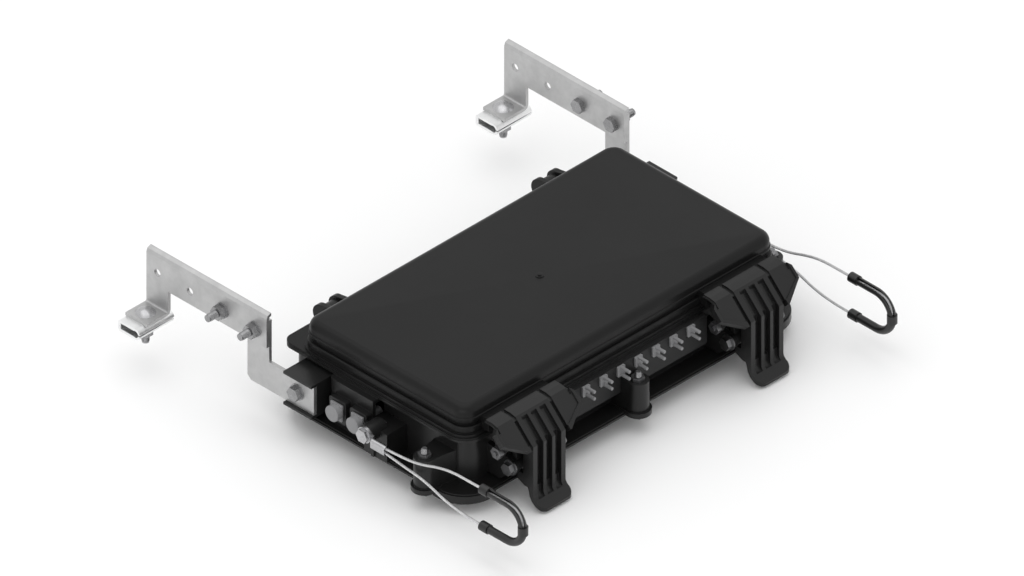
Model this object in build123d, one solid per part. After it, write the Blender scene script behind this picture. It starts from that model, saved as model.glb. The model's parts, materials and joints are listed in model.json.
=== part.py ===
from build123d import *
import math
import os

# Fibre splice closure for hanging on an aerial strand. Millimetres, +Z up.
# X runs along the long side, -Y is the latch side, +Y is the hinge side.
# Z = 0 is the flat underside of the pan, X = Y = 0 is the middle of the lid.

# Heights
LID_TOP = 106.0
PARTING = 68.5
PARTING_GAP = 0.4
FLANGE_TOP = 11.0
FLANGE_SPLIT = 9.2
FLANGE_LOW = 6.8
PAN_FLOOR = 3.0

# Housing plan, half sizes
LID_X, LID_Y, LID_R = 226.0, 118.0, 17.0
LID_WALL = 3.5
LID_TOP_ROUND = 9.5
WALL_X, WALL_Y, WALL_R = 222.0, 116.0, 20.0
WALL_T = 4.0
RIM_X, RIM_Y, RIM_R = 232.5, 124.5, 24.0
RIM_BACK = 141.0
RIM_H = 2.8
FLANGE_X, FLANGE_Y, FLANGE_R = 248.5, 139.5, 38.0
FLANGE_STEP = 1.5
PAN_X, PAN_Y, PAN_R = 236.0, 127.0, 25.0
PAN_IN_X, PAN_IN_Y = 214.0, 108.0
FOOT_REACH, FOOT_T = 46.0, 13.0
BLOCK_X = 240.0
BLOCK_Y0, BLOCK_Y1 = -108.0, 66.0
BLOCK_TOP = 65.5

# Lid skirt: bead, undercut, step and two ridges
BEAD_Z, BEAD_H, BEAD_OUT = 92.0, 2.5, 1.0
UNDERCUT_IN = 2.0
STEP_Z, STEP_OUT = 82.0, 2.0
RIDGE_Z, RIDGE_OUT = 74.0, 3.0
RIM_TOP = 70.7
BACK_TOP = 72.0

# Seals
GASKET_W, GASKET_H = 4.0, 1.6
GASKET_PROUD = 0.1
SEAL_W, SEAL_H = 3.0, 1.5

# Running and seating clearances
RUN = 0.05
SEAT = 0.3

# Studs that hold the base shell to the bottom pan
BOSS_R, LOBE_R, BOSS_TOP = 11.8, 14.5, 47.0
BOSS_BOLT_R = 3.35
BOSS_BOLT_END = 57.0
BOSS_AT = [(0, -143), (-252, -85), (252, -85), (0, 143), (-190, 143), (190, 143)]
BOSS_NUT_AF, BOSS_NUT_H = 12.7, 5.8

# Lid hinge
HINGE_X = 158.5
HINGE_Y, HINGE_Z = 144.0, 70.0
HINGE_PIN_R = 3.0
HINGE_EAR_R, HINGE_EAR_T, HINGE_EAR_AT = 12.4, 6.0, 11.4
HINGE_BARREL_R = 9.0

# Latches
LATCH_X = 158.2
LINK_Y, LINK_Z = -150.0, 35.0
PIN_Y, PIN_Z = -146.0, 59.0
LINK_BOLT_R, LATCH_PIN_R = 3.97, 3.0
LINK_HALF = 26.5
LINK_BARREL_R, LINK_WEB_T = 7.0, 6.0
LINK_GAP = 0.5
LUG_R, LUG_T = 8.0, 6.0
LUG_IN = LINK_HALF + LINK_GAP
LUG_OUT = LUG_IN + LUG_T
HEX_AF, HEX_H = 14.3, 6.0
WASHER_R, WASHER_T = 9.0, 1.8
LATCH_NOSE_Y, LATCH_TOP = -130.0, 93.0
LATCH_FRONT_Y = -172.5
LATCH_SLOPE = (-146.5, 91.5)
LATCH_T, WING_T = 3.0, 4.0
LATCH_HALF, LATCH_WIDE, WING_LOW_HALF = 51.5, 56.5, 30.0
RIB_OUT, RIB_IN = 23.5, 17.4
INNER_RIB_IN, INNER_RIB_OUT = 4.3, 8.6
RIB_H = 6.5
GROOVE_OUT, GROOVE_D = 28.0, 3.9
SIDE_T = 3.5
TAB_Y, TAB_Z, TAB_HALF, TAB_T = -186.0, -12.5, 21.0, 3.5
EAR_GAP, EAR_T = 1.2, 4.0
EAR_IN = LUG_OUT + WASHER_T + HEX_H + EAR_GAP
EAR_OUT = EAR_IN + EAR_T
PIN_HEAD_AF, PIN_HEAD_T = 12.7, 6.0
CATCH_HALF, CATCH_Z0, CATCH_Z1 = 45.0, 72.0, 89.6

# Front port plate and drop plugs
PORT_PITCH, PORT_COUNT = 25.4, 8
PORT_X = 113.0
PORT_OUT = 14.0
PORT_Y = -WALL_Y - PORT_OUT
PORT_T = 3.0
PORT_Z0, PORT_Z1 = 30.0, 65.4
PLUG_Z = 58.0
PLUG_W, PLUG_H, PLUG_T = 10.4, 12.3, 3.0
PLUG_PIN_R, PLUG_PIN_L, PLUG_PIN_PITCH = 1.9, 12.0, 8.4
PORT_STEM_R = 4.2

# End ports
END_PLUG_Y = [45.4, 15.4]
END_PLUG_Z = 37.0
END_PLATE_W, END_PLATE_H, END_PLATE_T = 16.3, 19.7, 3.0
COLLAR_W, COLLAR_H, COLLAR_OUT = 24.0, 28.0, 8.0
END_PLUG_R, END_PLUG_L = 9.2, 7.0
END_STEM_R = 6.5
END_SEAL_T = 1.2

# Hanger brackets
STEEL_T = 3.8
HANGER_X = [-261.6, 257.8]
HANGER_Y0, HANGER_Y1 = 134.8, 309.3
HANGER_Z0, HANGER_Z1 = 77.4, 118.5
FOLD_OUT, FOLD_R = 6.8, 5.5
HOLE_R, HOLE_PITCH, HOLE_END, HOLE_Z = 4.5, 47.2, 17.0, 93.6
LEG_W = 31.5
TAB_TOP = 51.5
TAB_LEN = 30.5
CRANK_Z0, CRANK_Z1 = 23.2, 58.2
CRANK_Y0 = 70.0
ARM_BOLT_Y, ARM_BOLT_Z = 94.0, 41.2
SHELF_T, SHELF_OUT = 3.0, 8.0
SHELF_Y0, SHELF_Y1 = 69.4, 110.3
BOLT_R = 3.97
BOLT_OUT = 22.0
NUT_AF, NUT_H = 14.3, 8.0

# Strand clamp
CLAMP_L = 50.0
CLAMP_AT = -16.0
CLAMP_Y0, CLAMP_Y1, CLAMP_BOLT_Y = 278.0, 309.5, 294.5
STRAND_R, STRAND_Y = 4.0, 284.4
CLAMP_T = 3.2
CLAMP_GAP = 6.8
LIP_GAP = 1.5
DOME_R, DOME_H = 11.0, 5.5
CLAMP_BOLT_L = 36.5

# Wire loops
LOOP_X = 268.0
LUG_Y, LUG_Z = -11.0, 43.0
RING_R, RING_T = 9.0, 2.4
PAD_FACE = 262.0
ROPE_R = 1.5
HOOK_R = 4.5
HOOK_BEND = 23.0
HOOK_Y, HOOK_Z = -221.0, 40.0
HOOK_END = -184.0
CRIMP_Y0, CRIMP_Y1 = -45.5, -25.5
CRIMP_H, CRIMP_T = 11.5, 7.0
CRIMP_DEEP = 5.0
ROPE_A_Z, ROPE_B_Z = 43.4, 38.7

# Splice trays
TRAY_X, TRAY_Y, TRAY_H, TRAY_T = 150.0, 78.0, 9.0, 1.8
TRAY_Z = 30.0
COVER_T = 1.6
BRACKET_T = 2.0
STUD_R, STUD_PROUD = 3.0, 12.0
STUD_HEAD_AF, STUD_HEAD_H = 10.0, 3.5
STUD_X = 120.0
STUD_AT = [(-STUD_X, 0), (STUD_X, 0)]
THUMB_R, THUMB_H = 9.0, 7.0

# Strength member bar and ground stud on the pan's floor
BAR_X, BAR_Y0, BAR_Y1, BAR_H = 150.0, 92.0, 96.0, 24.0
BAR_PAD_X = [-130.0, -70.0, 70.0, 130.0]
BAR_PAD_W, BAR_PAD_OUT, BAR_PAD_Z, BAR_PAD_T = 18.0, 8.0, 12.0, 6.0
BAR_SCREW_R = 3.0
GROUND_X, GROUND_Y, GROUND_R, GROUND_L = 185.0, -80.0, 4.0, 30.0
GROUND_AF, GROUND_NUT_H, GROUND_NUT_Z = 13.0, 6.0, 16.0

os.makedirs("parts", exist_ok=True)


def save(name, shape):
    export_step(shape, f"parts/{name}.step")


def slab(x0, x1, y0, y1, z0, z1):
    centre = ((x0 + x1) / 2, (y0 + y1) / 2, (z0 + z1) / 2)
    return Pos(*centre) * Box(abs(x1 - x0), abs(y1 - y0), abs(z1 - z0))


def plan(half_x, half_y, radius, z0, z1, back=None):
    """Rounded rectangle, back moves its +Y edge."""
    rear = half_y if back is None else back
    shape = Pos(0, (rear - half_y) / 2) * RectangleRounded(2 * half_x, rear + half_y, radius)
    return along_z(shape, z0, z1)


def along_x(sketch, x0, x1):
    """A section drawn as (Y, Z), run from x0 to x1."""
    return extrude(Plane.YZ.offset(x0) * sketch, amount=x1 - x0, dir=(1, 0, 0))


def along_y(sketch, y0, y1):
    """A section drawn as (X, Z), run from y0 to y1."""
    return extrude(Plane.XZ.offset(-y0) * sketch, amount=y1 - y0, dir=(0, 1, 0))


def along_z(sketch, z0, z1):
    return extrude(Plane.XY.offset(z0) * sketch, amount=z1 - z0, dir=(0, 0, 1))


def disc(radius, a, b):
    return Pos(a, b) * Circle(radius)


def hexagon(across_flats, a, b):
    return Pos(a, b) * RegularPolygon(across_flats / 2, 6, major_radius=False)


def outline(*points):
    return Polygon(*points, align=None)


def rod_x(radius, x0, x1, y, z):
    return along_x(disc(radius, y, z), min(x0, x1), max(x0, x1))


def rod_z(radius, x, y, z0, z1):
    return along_z(disc(radius, x, y), z0, z1)


def flip(shape):
    return mirror(shape, Plane.YZ)


def group(shapes):
    return Compound(children=list(shapes))


# Lid


def gasket_ring(z0, z1):
    mid_x = (RIM_X + LID_X - UNDERCUT_IN - LID_WALL) / 2
    mid_y = (RIM_Y + LID_Y - UNDERCUT_IN - LID_WALL) / 2
    half = GASKET_W / 2
    outer = plan(mid_x + half, mid_y + half, LID_R + half, z0, z1)
    return outer - plan(mid_x - half, mid_y - half, LID_R - half, z0, z1)


def lid():
    body = plan(LID_X, LID_Y, LID_R, BEAD_Z - 0.5, LID_TOP)
    body = fillet(body.edges().group_by(Axis.Z)[-1], LID_TOP_ROUND)
    bead_x, bead_y = LID_X + BEAD_OUT, LID_Y + BEAD_OUT
    bead = plan(bead_x, bead_y, LID_R + BEAD_OUT, BEAD_Z - BEAD_H, BEAD_Z)
    body += fillet(bead.edges().group_by(Axis.Z)[-1], 0.9)
    body += plan(LID_X - UNDERCUT_IN, LID_Y - UNDERCUT_IN, LID_R, STEP_Z - 0.5, BEAD_Z - BEAD_H)
    step = plan(LID_X + STEP_OUT, LID_Y + STEP_OUT, LID_R + STEP_OUT, RIDGE_Z - 0.5, STEP_Z)
    body += fillet(step.edges().group_by(Axis.Z)[-1], 1.5)
    ridge_x, ridge_y = LID_X + STEP_OUT + RIDGE_OUT, LID_Y + STEP_OUT + RIDGE_OUT
    body += plan(ridge_x, ridge_y, RIM_R - 1.5, RIM_TOP - 0.2, RIDGE_Z)
    body += plan(RIM_X, RIM_Y, RIM_R, PARTING, RIM_TOP)
    # Wider ledge along the hinge side
    ledge = slab(-RIM_X, RIM_X, 90, RIM_BACK, PARTING, BACK_TOP)
    body += fillet(ledge.edges().filter_by(Axis.Z).group_by(Axis.Y)[-1], RIM_R)
    for side in (-1, 1):
        # Catch rib behind each latch
        x = side * LATCH_X
        catch = outline(
            (-LID_Y + 3, CATCH_Z0), (LATCH_NOSE_Y + SEAT + 0.1, CATCH_Z0 + 3),
            (LATCH_NOSE_Y + SEAT + 0.1, CATCH_Z1), (-LID_Y + 3, CATCH_Z1),
        )
        body += along_x(catch, x - CATCH_HALF, x + CATCH_HALF)
        for ear in (-1, 1):
            ear_x = side * HINGE_X + ear * HINGE_EAR_AT
            lobe = disc(HINGE_EAR_R, HINGE_Y, HINGE_Z)
            web = outline(
                (HINGE_Y + 1, HINGE_Z + HINGE_EAR_R - 0.2),
                (LID_Y - 1, STEP_Z + 5),
                (LID_Y - 1, PARTING + 0.5),
                (HINGE_Y, PARTING + 0.5),
            )
            body += along_x(lobe + web, ear_x - HINGE_EAR_T / 2, ear_x + HINGE_EAR_T / 2)
    inner_x, inner_y = LID_X - UNDERCUT_IN - LID_WALL, LID_Y - UNDERCUT_IN - LID_WALL
    body -= plan(inner_x, inner_y, LID_R - 4, PARTING - 1, LID_TOP - LID_WALL)
    for side in (-1, 1):
        x = side * HINGE_X
        body -= rod_x(HINGE_PIN_R + RUN, x - 20, x + 20, HINGE_Y, HINGE_Z)
        half = HINGE_EAR_AT - HINGE_EAR_T / 2
        body -= rod_x(HINGE_BARREL_R + 0.7, x - half, x + half, HINGE_Y, HINGE_Z)
    body -= gasket_ring(PARTING - 1, PARTING + GASKET_H)
    # Moulding nub on the top face
    body += rod_z(4.5, 0, 0, LID_TOP - 1, LID_TOP + 0.8)
    body += rod_z(2.0, 0, 0, LID_TOP, LID_TOP + 1.8)
    return body


def gasket():
    return gasket_ring(PARTING - GASKET_PROUD, PARTING + GASKET_H)


# Base


def boss_plan(x, y, radius, inner_x, inner_y):
    """U-shaped plan of a bolt column, run back to the wall."""
    shape = disc(radius, x, y)
    if abs(x) > WALL_X:
        edge = math.copysign(inner_x, x)
        shape += Pos((x + edge) / 2, y) * Rectangle(abs(x - edge), 2 * radius)
    else:
        edge = math.copysign(inner_y, y)
        shape += Pos(x, (y + edge) / 2) * Rectangle(2 * radius, abs(y - edge))
    return shape


def crank_face(side):
    """Face of the housing's pad that the hanger arm is bolted to."""
    return abs(HANGER_X[0] + 2 * STEEL_T) if side < 0 else HANGER_X[1] + STEEL_T


def arm_holder(side):
    """Two shelves with end webs and a bolt boss, the hanger arm sits between the shelves."""
    face = crank_face(side)
    reach = face + SHELF_OUT
    inner = WALL_X - 2
    low, high = CRANK_Z0 - 0.2, CRANK_Z1 + 0.3
    shape = slab(inner, reach, SHELF_Y0, SHELF_Y1, high, high + SHELF_T)
    shape += slab(inner, reach, SHELF_Y0, SHELF_Y1, low - SHELF_T, low)
    for y in (SHELF_Y0, SHELF_Y1 - 2.5):
        shape += slab(inner, face, y, y + 2.5, low - 0.5, high + 0.5)
    shape += rod_x(12, inner, face, ARM_BOLT_Y, ARM_BOLT_Z)
    shape += slab(inner, face - 4, ARM_BOLT_Y - 2, ARM_BOLT_Y + 2, low - 0.5, high + 0.5)
    shape -= rod_x(BOLT_R, BLOCK_X - 8, face + 1, ARM_BOLT_Y, ARM_BOLT_Z)
    return shape if side > 0 else flip(shape)


def end_block():
    """Port block on the +X end wall with its two collars and the lug pad."""
    block = slab(WALL_X - 2, BLOCK_X, BLOCK_Y0, BLOCK_Y1, FLANGE_TOP - 0.5, BLOCK_TOP)
    block = fillet(block.edges().filter_by(Axis.Z).group_by(Axis.X)[-1], 6)
    for y in END_PLUG_Y:
        collar = slab(
            BLOCK_X - 1, BLOCK_X + COLLAR_OUT, y - COLLAR_W / 2, y + COLLAR_W / 2,
            END_PLUG_Z - COLLAR_H / 2, END_PLUG_Z + COLLAR_H / 2,
        )
        block += fillet(collar.edges().filter_by(Axis.X), 2.5)
    block += rod_x(10, BLOCK_X - 1, PAD_FACE, LUG_Y, LUG_Z)
    block += slab(BLOCK_X - 1, PAD_FACE - 8, LUG_Y - 2, LUG_Y + 2, FLANGE_TOP - 0.5, LUG_Z)
    return block


def end_block_cuts():
    y0, y1 = BLOCK_Y0 + 8, BLOCK_Y1 - 4
    cuts = slab(WALL_X - 10, BLOCK_X - 4, y0, y1, FLANGE_TOP + 4, BLOCK_TOP - 4)
    cuts -= slab(WALL_X - 11, BLOCK_X, LUG_Y - 12, LUG_Y + 12, FLANGE_TOP, BLOCK_TOP)
    for y in END_PLUG_Y:
        cuts += slab(
            BLOCK_X + COLLAR_OUT - END_PLATE_T, BLOCK_X + COLLAR_OUT + 1,
            y - END_PLATE_W / 2 - SEAT, y + END_PLATE_W / 2 + SEAT,
            END_PLUG_Z - END_PLATE_H / 2 - SEAT, END_PLUG_Z + END_PLATE_H / 2 + SEAT,
        )
        cuts += rod_x(END_STEM_R, WALL_X - 10, BLOCK_X + COLLAR_OUT, y, END_PLUG_Z)
    cuts += rod_x(BOLT_R, BLOCK_X - 4, PAD_FACE + 1, LUG_Y, LUG_Z)
    return cuts


def latch_lugs():
    """Pair of ears that carries a latch link, around x = 0."""
    ear = disc(LUG_R, LINK_Y, LINK_Z) + outline(
        (LINK_Y, LINK_Z + LUG_R), (-WALL_Y + 1, LINK_Z + LUG_R + 6),
        (-WALL_Y + 1, FLANGE_TOP + 2), (-WALL_Y - 18, FLANGE_TOP + 2), (LINK_Y, LINK_Z - LUG_R),
    )
    right = along_x(ear, LUG_IN, LUG_OUT)
    return right + flip(right)


def base_shell():
    top = PARTING - PARTING_GAP
    body = plan(WALL_X, WALL_Y, WALL_R, FLANGE_SPLIT, top)
    body += plan(RIM_X, RIM_Y, RIM_R, top - RIM_H, top, RIM_BACK)
    step = FLANGE_STEP
    body += plan(FLANGE_X - step, FLANGE_Y - step, FLANGE_R - step, FLANGE_SPLIT, FLANGE_TOP)
    body += slab(-PORT_X, PORT_X, PORT_Y + PORT_T, -WALL_Y + 2, PORT_Z0, PORT_Z1)
    body -= slab(-PORT_X + 8, PORT_X - 8, PORT_Y, -WALL_Y + 10, PORT_Z0 + 5, PORT_Z1 - 2)
    for x, y in BOSS_AT:
        body += along_z(boss_plan(x, y, LOBE_R, WALL_X, WALL_Y), FLANGE_SPLIT, FLANGE_TOP + 1.5)
        body += along_z(boss_plan(x, y, BOSS_R, WALL_X - 1, WALL_Y - 1), FLANGE_TOP, BOSS_TOP)
    right = end_block()
    body += right + flip(right)
    body += arm_holder(-1) + arm_holder(1)
    for side in (-1, 1):
        body += Pos(side * LATCH_X, 0, 0) * latch_lugs()
        barrel = disc(HINGE_BARREL_R, HINGE_Y, HINGE_Z)
        barrel += outline(
            (HINGE_Y + 6.5, HINGE_Z - 6.0),
            (HINGE_Y - 8, top),
            (WALL_Y - 2, top),
            (WALL_Y - 2, top - 30),
        )
        half = HINGE_EAR_AT - HINGE_EAR_T / 2 - SEAT
        body += along_x(barrel, side * HINGE_X - half, side * HINGE_X + half)
    body -= plan(WALL_X - WALL_T, WALL_Y - WALL_T, WALL_R - WALL_T, FLANGE_SPLIT - 1, top + 1)
    right_cuts = end_block_cuts()
    body -= right_cuts + flip(right_cuts)
    for x, y in BOSS_AT:
        body -= rod_z(BOSS_BOLT_R, x, y, FLANGE_SPLIT - 1, BOSS_TOP + 1)
    for side in (-1, 1):
        x = side * HINGE_X
        body -= rod_x(HINGE_PIN_R, x - 20, x + 20, HINGE_Y, HINGE_Z)
        # Slots in the rim for the lid's hinge ears
        for ear in (-1, 1):
            ear_x = x + ear * HINGE_EAR_AT
            half = HINGE_EAR_T / 2 + SEAT
            body -= slab(ear_x - half, ear_x + half, HINGE_Y - HINGE_EAR_R - 0.6, 160, top - 9, top + 1)
        x = side * LATCH_X
        body -= rod_x(LINK_BOLT_R, x - LUG_OUT - 1, x + LUG_OUT + 1, LINK_Y, LINK_Z)
    return body


def seal_ring(z0, z1):
    mid_x, mid_y = WALL_X - WALL_T / 2, WALL_Y - WALL_T / 2
    half = SEAL_W / 2
    outer = plan(mid_x + half, mid_y + half, WALL_R, z0, z1)
    return outer - plan(mid_x - half, mid_y - half, WALL_R - SEAL_W, z0, z1)


def bottom_pan():
    body = plan(FLANGE_X, FLANGE_Y, FLANGE_R, FLANGE_LOW, FLANGE_SPLIT)
    for x, y in BOSS_AT:
        body += along_z(boss_plan(x, y, LOBE_R, WALL_X, WALL_Y), FLANGE_LOW, FLANGE_SPLIT)
    body += plan(PAN_X, PAN_Y, PAN_R, 0, FLANGE_LOW + 0.5)
    body -= plan(PAN_IN_X, PAN_IN_Y, WALL_R - 8, PAN_FLOOR, FLANGE_SPLIT + 1)
    # Corner feet
    ring = plan(FLANGE_X, FLANGE_Y, FLANGE_R, 0, FLANGE_LOW + 0.5)
    inset = FOOT_T
    ring -= plan(FLANGE_X - inset, FLANGE_Y - inset, FLANGE_R - inset, -1, FLANGE_LOW + 1)
    for sx in (-1, 1):
        for sy in (-1, 1):
            corner = rod_z(FOOT_REACH, sx * FLANGE_X, sy * FLANGE_Y, -1, FLANGE_LOW + 2)
            body += ring & corner
    for x, y in BOSS_AT:
        body -= rod_z(BOSS_BOLT_R, x, y, -1, FLANGE_SPLIT + 1)
    body -= seal_ring(FLANGE_SPLIT - SEAL_H, FLANGE_SPLIT + 1)
    return body


def bottom_seal():
    return seal_ring(FLANGE_SPLIT - SEAL_H, FLANGE_SPLIT)


def boss_bolt(x, y):
    """Stud up through the column and down to the nut."""
    low = FLANGE_LOW - BOSS_NUT_H - 0.4
    shape = rod_z(BOSS_BOLT_R, x, y, low, BOSS_BOLT_END)
    shape += along_z(hexagon(HEX_AF - 1.6, x, y), BOSS_TOP, BOSS_TOP + 4.0)
    return chamfer(shape.faces().sort_by(Axis.Z)[-1].edges(), 0.8)


def boss_nut(x, y):
    ring = hexagon(BOSS_NUT_AF, x, y) - disc(BOSS_BOLT_R, x, y)
    return along_z(ring, FLANGE_LOW - BOSS_NUT_H, FLANGE_LOW)


def hinge_pin(side):
    half = HINGE_EAR_AT + HINGE_EAR_T / 2 + 0.6
    pin = rod_x(HINGE_PIN_R, side * HINGE_X - half, side * HINGE_X + half, HINGE_Y, HINGE_Z)
    return chamfer(pin.edges().filter_by(GeomType.CIRCLE), 0.5)


# Latches, drawn around x = 0


def slope_point(s, depth=0.0):
    """Point on the sloping front of the latch, s along it and depth behind it."""
    half = math.sqrt(0.5)
    return LATCH_SLOPE[0] - s * half + depth * half, LATCH_SLOPE[1] - s * half - depth * half


SLOPE_END = (LATCH_SLOPE[0] - LATCH_FRONT_Y) * math.sqrt(2)
WING_S1, WING_S2, WING_END = 6.0, 21.0, 38.6


def latch_wings():
    """Bent front plate of both wings, with a raised lip."""
    section = outline(
        (LATCH_NOSE_Y, LATCH_TOP),
        (LATCH_NOSE_Y - 9, LATCH_TOP),
        LATCH_SLOPE,
        slope_point(WING_END),
        slope_point(WING_END, WING_T),
        slope_point(0.5, WING_T),
        (LATCH_NOSE_Y - 8, LATCH_TOP - LATCH_T),
        (LATCH_NOSE_Y, LATCH_TOP - LATCH_T),
    )
    plate = along_x(section, -LATCH_WIDE, LATCH_WIDE)
    slope_plane = Plane(
        origin=(0, LATCH_SLOPE[0], LATCH_SLOPE[1]),
        x_dir=(1, 0, 0),
        z_dir=(0, -1, 1),
    )
    half_low = WING_LOW_HALF
    mask = outline(
        (-LATCH_HALF, 0), (-LATCH_WIDE, -WING_S1), (-LATCH_WIDE, -WING_S2),
        (-half_low, -WING_END - 1), (half_low, -WING_END - 1),
        (LATCH_WIDE, -WING_S2), (LATCH_WIDE, -WING_S1), (LATCH_HALF, 0),
    )
    keep = extrude(slope_plane * mask, amount=12, both=True)
    keep += slab(-LATCH_HALF, LATCH_HALF, -150, LATCH_NOSE_Y + 1, LATCH_TOP - 6, LATCH_TOP + 1)
    wings = plate & keep
    inner = outline(
        (-LATCH_HALF + 2, 2), (-LATCH_WIDE + 3, -WING_S1), (-LATCH_WIDE + 3, -WING_S2 + 1),
        (-half_low, -WING_END + 5), (half_low, -WING_END + 5),
        (LATCH_WIDE - 3, -WING_S2 + 1), (LATCH_WIDE - 3, -WING_S1), (LATCH_HALF - 2, 2),
    )
    lip = extrude(slope_plane * (mask - inner), amount=1.5, dir=(0, -1, 1))
    lip += extrude(slope_plane * (mask - inner), amount=6.5, dir=(0, 1, -1))
    lip -= slab(-GROOVE_OUT, GROOVE_OUT, -200, -100, 0, 200)
    wings += lip
    # The middle of the plate belongs to the lever below the top bend
    low_cut = outline(slope_point(-3, -6), slope_point(60, -6), slope_point(60, 12), slope_point(-3, 12))
    wings -= along_x(low_cut, -GROOVE_OUT, GROOVE_OUT) & slab(-60, 60, -200, LATCH_SLOPE[0] - 2, 0, 200)
    return wings


def latch_middle():
    """Ribbed lever between the wings, run down to the pull tab."""
    back_y = LATCH_FRONT_Y + RIB_H + LATCH_T
    profile = outline(
        (LATCH_NOSE_Y, LATCH_TOP),
        (LATCH_NOSE_Y - 9, LATCH_TOP),
        LATCH_SLOPE,
        slope_point(SLOPE_END),
        (LATCH_FRONT_Y, 10),
        (LATCH_FRONT_Y + 4, 5),
        (back_y, 8),
        (back_y, 63),
        slope_point(3, 7.5),
        (LATCH_NOSE_Y - 8, LATCH_TOP - LATCH_T - 1.5),
        (LATCH_NOSE_Y, LATCH_TOP - LATCH_T),
    )
    lever = along_x(profile, -RIB_OUT, RIB_OUT)
    floor_y = LATCH_FRONT_Y + RIB_H
    channel = outline(
        (LATCH_SLOPE[0] + 2, LATCH_SLOPE[1] + 6),
        (LATCH_SLOPE[0] + 2, LATCH_SLOPE[1] + 0.2),
        slope_point(4, 3.6),
        (floor_y, 66),
        (floor_y, 12),
        (LATCH_FRONT_Y - 3, 1),
        (LATCH_FRONT_Y - 5, 66),
        (LATCH_SLOPE[0] - 6, LATCH_SLOPE[1] + 6),
    )
    for x0, x1 in ((-RIB_IN, -INNER_RIB_OUT), (-INNER_RIB_IN, INNER_RIB_IN), (INNER_RIB_OUT, RIB_IN)):
        lever -= along_x(channel, x0, x1)
    # Strips behind the grooves that join the lever to the wings
    strip = outline(slope_point(1, GROOVE_D - 0.3), slope_point(33, GROOVE_D - 0.3), slope_point(33, 8), slope_point(1, 8))
    joint = along_x(strip, RIB_OUT - 1, GROOVE_OUT + 4)
    return lever + joint + flip(joint)


def latch_tab():
    """Flared pull tab with rounded corners."""
    back_y = LATCH_FRONT_Y + RIB_H + LATCH_T
    section = outline(
        (back_y, 14), (-164.7, 10), (-169.5, 0.5), (-182.5, TAB_Z + 0.2), (TAB_Y, TAB_Z + 0.8),
        (TAB_Y + 0.5, TAB_Z + 3.6), (-183, TAB_Z + 3.6), (-173.5, 0.5), (LATCH_FRONT_Y + 2, 7), (back_y - 3.5, 14),
    )
    tab = along_x(section, -RIB_OUT, RIB_OUT)
    keep = slab(-RIB_OUT, RIB_OUT, TAB_Y - 0.5, back_y + 5, TAB_Z - 5, 20)
    keep = fillet(keep.edges().filter_by(Axis.Z).group_by(Axis.Y)[0], 8)
    return tab & keep


def latch():
    body = latch_wings() + latch_middle() + latch_tab()
    # Side plates back beside the link
    back_y = LATCH_FRONT_Y + RIB_H + LATCH_T
    side = outline(
        slope_point(8, 6), (-158, 74), (-158, 26), (-149, 26), (-149, 17), (-158, 13), (back_y - 1, 10),
        (back_y - 1, 62), slope_point(SLOPE_END - 4, 6),
    )
    plate = along_x(side, RIB_OUT - SIDE_T, RIB_OUT)
    body += plate + flip(plate)
    # Ears behind the wings for the pin
    ear = disc(6.5, PIN_Y, PIN_Z) + outline(
        slope_point(4, 2), (PIN_Y + 6.5, 74), (PIN_Y + 6.5, PIN_Z), (PIN_Y - 6.5, PIN_Z), slope_point(27, 2),
    )
    ear_plate = along_x(ear, EAR_IN, EAR_OUT)
    body += ear_plate + flip(ear_plate)
    body -= rod_x(LATCH_PIN_R, EAR_IN - 1, EAR_OUT + 1, PIN_Y, PIN_Z)
    body -= rod_x(LATCH_PIN_R, -EAR_OUT - 1, -EAR_IN + 1, PIN_Y, PIN_Z)
    return body


def latch_pin():
    tip = EAR_OUT + PIN_HEAD_T + 2
    pin = rod_x(LATCH_PIN_R, -tip, tip, PIN_Y, PIN_Z)
    head = hexagon(PIN_HEAD_AF, PIN_Y, PIN_Z)
    pin += along_x(head, EAR_OUT, EAR_OUT + PIN_HEAD_T)
    return pin + along_x(head, -EAR_OUT - PIN_HEAD_T, -EAR_OUT)


def latch_link():
    dy, dz = PIN_Y - LINK_Y, PIN_Z - LINK_Z
    length = math.hypot(dy, dz)
    ny, nz = -dz / length * LINK_WEB_T / 2, dy / length * LINK_WEB_T / 2
    bar = outline(
        (LINK_Y + ny, LINK_Z + nz), (PIN_Y + ny, PIN_Z + nz),
        (PIN_Y - ny, PIN_Z - nz), (LINK_Y - ny, LINK_Z - nz),
    )
    link = along_x(bar, -LINK_HALF, LINK_HALF)
    link += rod_x(LINK_BARREL_R, -LINK_HALF, LINK_HALF, LINK_Y, LINK_Z)
    link += rod_x(LINK_BARREL_R - 1, -LINK_HALF, LINK_HALF, PIN_Y, PIN_Z)
    link -= slab(-14, 14, LINK_Y - 20, LINK_Y + 20, LINK_Z + 9, PIN_Z - 8)
    link -= rod_x(LINK_BOLT_R + RUN, -LINK_HALF - 1, LINK_HALF + 1, LINK_Y, LINK_Z)
    link -= rod_x(LATCH_PIN_R + RUN, -LINK_HALF - 1, LINK_HALF + 1, PIN_Y, PIN_Z)
    return link


def link_bolt():
    """Flange-head bolt and its nut through the base lugs."""
    out = LUG_OUT + WASHER_T
    bolt = rod_x(LINK_BOLT_R, -out, out + HEX_H + 1, LINK_Y, LINK_Z)
    bolt += rod_x(WASHER_R, -out, -LUG_OUT, LINK_Y, LINK_Z)
    bolt += rod_x(WASHER_R, LUG_OUT, out, LINK_Y, LINK_Z)
    head = hexagon(HEX_AF - 1.6, LINK_Y, LINK_Z)
    bolt += along_x(head, -out - HEX_H, -out)
    return bolt + along_x(head, out, out + HEX_H)


# Ports


def port_xs():
    first = -PORT_PITCH * (PORT_COUNT - 1) / 2
    return [first + PORT_PITCH * i for i in range(PORT_COUNT)]


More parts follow.
